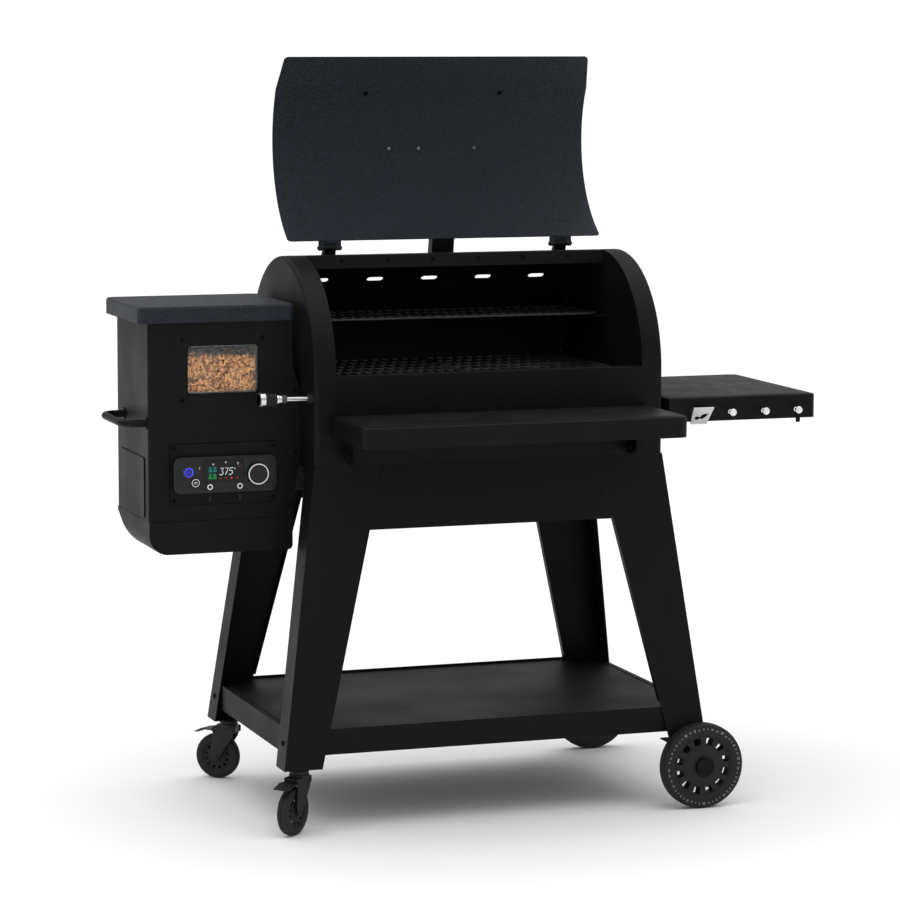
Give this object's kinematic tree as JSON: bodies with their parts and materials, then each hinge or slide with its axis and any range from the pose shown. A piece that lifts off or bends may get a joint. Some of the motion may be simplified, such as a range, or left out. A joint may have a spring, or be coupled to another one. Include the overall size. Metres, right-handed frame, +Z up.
{
  "type": "pellet smoker grill",
  "caption": "Wood pellet smoker grill with hinged lid, side hopper with feed screw, folding shelves and a wheeled splayed cart.",
  "frame": {"origin": "on the floor, under the middle of the whole grill", "axes": "+Z up, the front with the controls faces -Y, the pellet hopper is at -X"},
  "size_m": [1.569, 0.849, 1.6474],
  "materials": {
    "black_powder_coat": "satin, fine leather texture",
    "hammered_grey": "blue-grey speckled powder coat, semi gloss",
    "chrome": "polished",
    "stainless": "brushed",
    "bare_steel": "mill finish",
    "galvanised": "zinc coated",
    "cast_iron": "matt porcelain coated",
    "black_plastic": "satin moulded",
    "wheel_plastic": "matt moulded",
    "board_plastic": "glossy",
    "glass": "clear"
  },
  "bodies": {
    "frame": {"access_panel": "black_powder_coat", "aprons": "black_powder_coat", "auger_motor": "galvanised", "auger_tube": "bare_steel", "bottom_pan": "bare_steel", "broiler_plate": "bare_steel", "burn_pot": "bare_steel", "control_bezel": "black_powder_coat", "control_board": "board_plastic", "control_face": "black_plastic", "end_cap_left": "black_powder_coat", "end_cap_right": "black_powder_coat", "fan_housing": "galvanised", "front_panel": "black_powder_coat", "hopper_base": "black_powder_coat", "hopper_bin": "galvanised", "hopper_body": "black_powder_coat", "hopper_handle": "black_powder_coat", "hopper_hinge": "black_powder_coat", "igniter": "stainless", "leg_front_left": "black_powder_coat", "leg_front_right": "black_powder_coat", "leg_rear_left": "black_powder_coat", "leg_rear_right": "black_powder_coat", "lid_hinge_leaves": "black_powder_coat", "lid_stop": "black_powder_coat", "lower_shelf": "black_powder_coat", "main_grates": "cast_iron", "power_inlet": "black_plastic", "probe_jacks": "black_plastic", "rack_hangers": "black_powder_coat", "rear_shell": "black_powder_coat", "screws": "chrome", "shelf_brackets": "black_powder_coat", "temp_probe": "stainless", "upper_rack": "cast_iron", "wheel_axles": "black_powder_coat", "window_pane": "glass"},
    "lid": {"main_lid": "hammered_grey", "lid_handle": "chrome"},
    "hopper_lid": {"hopper_lid": "hammered_grey"},
    "front_shelf": {"front_shelf": "black_powder_coat"},
    "side_shelf": {"side_shelf": "black_powder_coat", "bottle_opener": "stainless", "shelf_hooks": "chrome"},
    "broiler": {"broiler_slide": "bare_steel", "lever_grip": "black_plastic"},
    "knob": {"control_knob": "black_plastic"},
    "power_button": {"power_button": "black_plastic"},
    "prime_button": {"prime_button": "black_plastic"},
    "wheel_front": {"wheel_front": "wheel_plastic"},
    "wheel_rear": {"wheel_rear": "wheel_plastic"},
    "auger": {"auger": "bare_steel"},
    "fan": {"fan_impeller": "galvanised"},
    "caster_front": {"caster_fork_front": "black_powder_coat"},
    "caster_wheel_front": {"caster_wheel_front": "wheel_plastic"},
    "brake_front": {"brake_pedal_front": "black_powder_coat"},
    "caster_rear": {"caster_fork_rear": "black_powder_coat"},
    "caster_wheel_rear": {"caster_wheel_rear": "wheel_plastic"},
    "brake_rear": {"brake_pedal_rear": "black_powder_coat"}
  },
  "joints": [
    {"name": "lid_hinge", "type": "hinge", "parent": "frame", "child": "lid", "pos_m": [0.0105, 0.1195, 1.229], "axis": [1, 0, 0], "range_deg": [0, 138.8]},
    {"name": "hopper_lid_hinge", "type": "hinge", "parent": "frame", "child": "hopper_lid", "pos_m": [-0.5795, 0.2145, 1.088], "axis": [-1, 0, 0], "range_deg": [0, 95]},
    {"name": "front_shelf_fold", "type": "hinge", "parent": "frame", "child": "front_shelf", "pos_m": [0.0105, -0.2165, 0.808], "axis": [1, 0, 0], "range_deg": [0, 90]},
    {"name": "side_shelf_fold", "type": "hinge", "parent": "frame", "child": "side_shelf", "pos_m": [0.4445, 0.0675, 0.835], "axis": [0, 1, 0], "range_deg": [0, 90]},
    {"name": "broiler_lever", "type": "slide", "parent": "frame", "child": "broiler", "axis": [-1, 0, 0], "range_m": [0, 0.1]},
    {"name": "knob_turn", "type": "hinge", "parent": "frame", "child": "knob", "pos_m": [-0.4915, -0.1025, 0.764], "axis": [0, -1, 0], "continuous": true},
    {"name": "power_press", "type": "slide", "parent": "frame", "child": "power_button", "axis": [0, 1, 0], "range_m": [0, 0.0015], "stiffness_N_per_m": 400},
    {"name": "prime_press", "type": "slide", "parent": "frame", "child": "prime_button", "axis": [0, 1, 0], "range_m": [0, 0.0015], "stiffness_N_per_m": 400},
    {"name": "caster_front_swivel", "type": "hinge", "parent": "frame", "child": "caster_front", "pos_m": [-0.4345, -0.2125, 0.15], "axis": [0, 0, 1], "continuous": true},
    {"name": "caster_front_spin", "type": "hinge", "parent": "caster_front", "child": "caster_wheel_front", "pos_m": [-0.45425, -0.23091, 0.052], "axis": [0.682, -0.7314, 0], "continuous": true},
    {"name": "caster_front_brake", "type": "hinge", "parent": "caster_front", "child": "brake_front", "pos_m": [-0.45498, -0.2316, 0.112], "axis": [0.682, -0.7314, 0], "range_deg": [0, 15]},
    {"name": "caster_rear_swivel", "type": "hinge", "parent": "frame", "child": "caster_rear", "pos_m": [-0.4345, 0.3475, 0.15], "axis": [0, 0, 1], "continuous": true},
    {"name": "caster_rear_spin", "type": "hinge", "parent": "caster_rear", "child": "caster_wheel_rear", "pos_m": [-0.45548, 0.36449, 0.052], "axis": [-0.6293, -0.7771, 0], "continuous": true},
    {"name": "caster_rear_brake", "type": "hinge", "parent": "caster_rear", "child": "brake_rear", "pos_m": [-0.45626, 0.36512, 0.112], "axis": [-0.6293, -0.7771, 0], "range_deg": [0, 15]},
    {"name": "wheel_front_spin", "type": "hinge", "parent": "frame", "child": "wheel_front", "pos_m": [0.4765, -0.2645, 0.095], "axis": [0, 1, 0], "continuous": true},
    {"name": "wheel_rear_spin", "type": "hinge", "parent": "frame", "child": "wheel_rear", "pos_m": [0.4765, 0.3995, 0.095], "axis": [0, 1, 0], "continuous": true},
    {"name": "auger_turn", "type": "hinge", "parent": "frame", "child": "auger", "pos_m": [-0.2895, 0.0675, 0.815], "axis": [1, 0, 0], "continuous": true},
    {"name": "fan_turn", "type": "hinge", "parent": "frame", "child": "fan", "pos_m": [-0.4695, 0.0675, 0.728], "axis": [1, 0, 0], "continuous": true}
  ]
}
